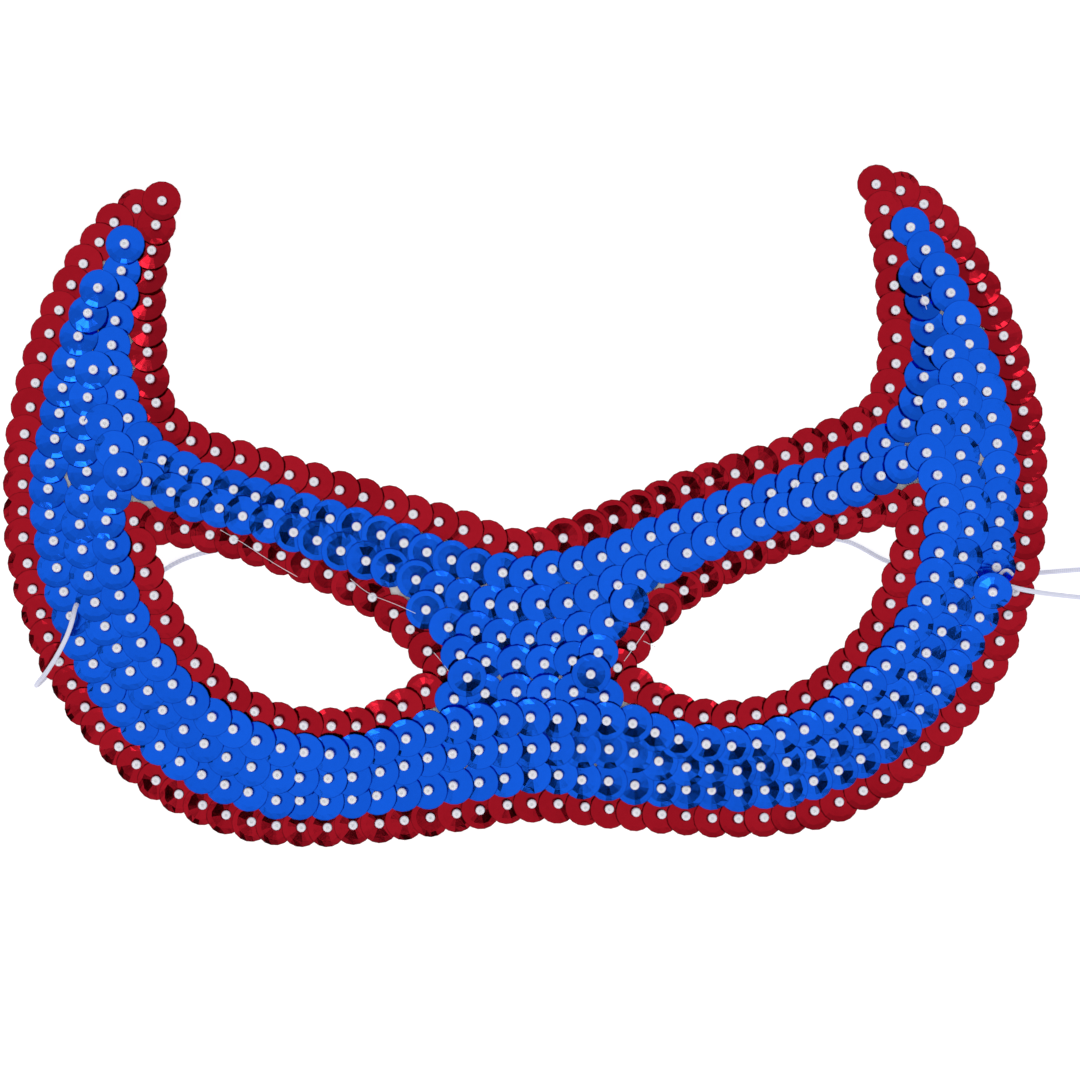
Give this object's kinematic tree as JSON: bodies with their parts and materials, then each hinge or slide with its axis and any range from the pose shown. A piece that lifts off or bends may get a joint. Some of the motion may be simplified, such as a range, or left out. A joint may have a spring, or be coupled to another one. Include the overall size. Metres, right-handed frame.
{
  "type": "sequinned superhero half mask",
  "caption": "Felt half mask with upswept horn corners, red sequin borders round its outline and almond eye holes, a blue sequin field and a thin elastic.",
  "frame": {"origin": "middle of the mask in plan, on the surface that it lies on", "axes": "+X to the viewer's right along the mask's width, +Y towards the horns, +Z out of the sequinned front"},
  "size_m": [0.2437, 0.1398, 0.0118],
  "materials": {
    "felt": "white felt, matt",
    "red_sequins": "metallic foil, polished",
    "blue_sequins": "metallic foil, polished",
    "elastic": "round white elastic with a lilac cast, matt"
  },
  "bodies": {
    "root": {"felt_backing": "felt", "outer_border_sequins": "red_sequins", "left_eye_border_sequins": "red_sequins", "right_eye_border_sequins": "red_sequins", "blue_sequin_field": "blue_sequins", "elastic_cord": "elastic", "left_cord_knot": "elastic", "right_cord_knot": "elastic"}
  },
  "joints": []
}
